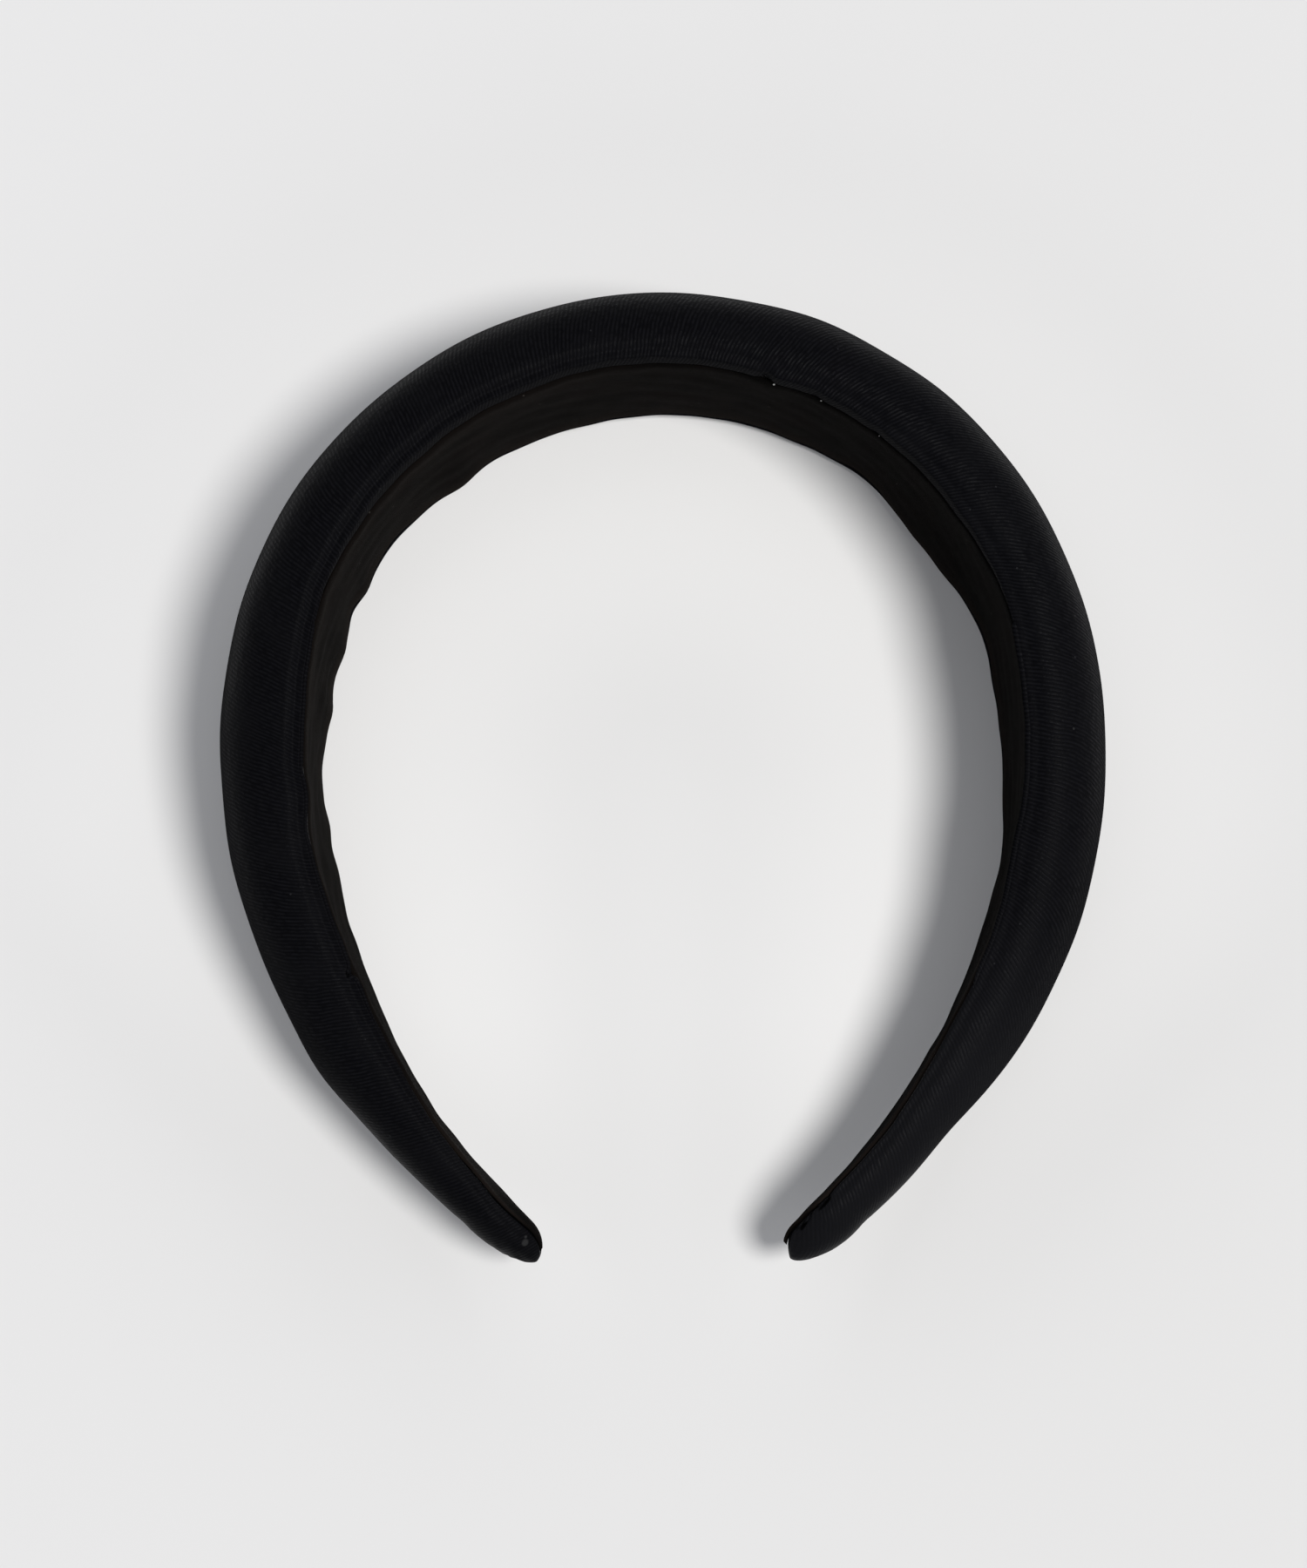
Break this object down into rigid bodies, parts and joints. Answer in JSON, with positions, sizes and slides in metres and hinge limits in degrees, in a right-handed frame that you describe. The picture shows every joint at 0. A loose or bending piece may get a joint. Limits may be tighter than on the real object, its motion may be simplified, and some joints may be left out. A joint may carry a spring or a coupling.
{
  "type": "headband",
  "caption": "Padded satin headband: a springy open hoop with a domed foam pad, a satin cover rolled over both edges and a velvet lining, tapering to closed tips.",
  "frame": {"origin": "centre of the footprint on the surface that the band lies on, on its side", "axes": "+X across the head from the left half to the right half, +Y from the tips to the crown, +Z across the band's width, up from the surface"},
  "size_m": [0.1498, 0.1644, 0.037],
  "materials": {
    "satin_cover": "black satin twill with fine ribs across the band and a soft sheen",
    "velvet_lining": "brown-black short-pile velvet",
    "pad_foam": "fine open-cell foam",
    "former_plastic": "plain moulded plastic",
    "foam_tape": "double-sided tape",
    "lining_adhesive": "clear to white craft adhesive"
  },
  "bodies": {
    "right_half": {"core_right": "former_plastic", "foam_tape_right": "foam_tape", "foam_right": "pad_foam", "cover_right": "satin_cover", "lining_glue_right": "lining_adhesive", "lining_right": "velvet_lining"},
    "left_half": {"core_left": "former_plastic", "foam_tape_left": "foam_tape", "foam_left": "pad_foam", "cover_left": "satin_cover", "lining_glue_left": "lining_adhesive", "lining_left": "velvet_lining"}
  },
  "joints": [
    {"name": "crown_flex", "type": "hinge", "parent": "right_half", "child": "left_half", "pos_m": [0, 0.0822, 0.0185], "axis": [0, 0, -1], "range_deg": [0, 30], "stiffness_Nm_per_rad": 0.45}
  ]
}
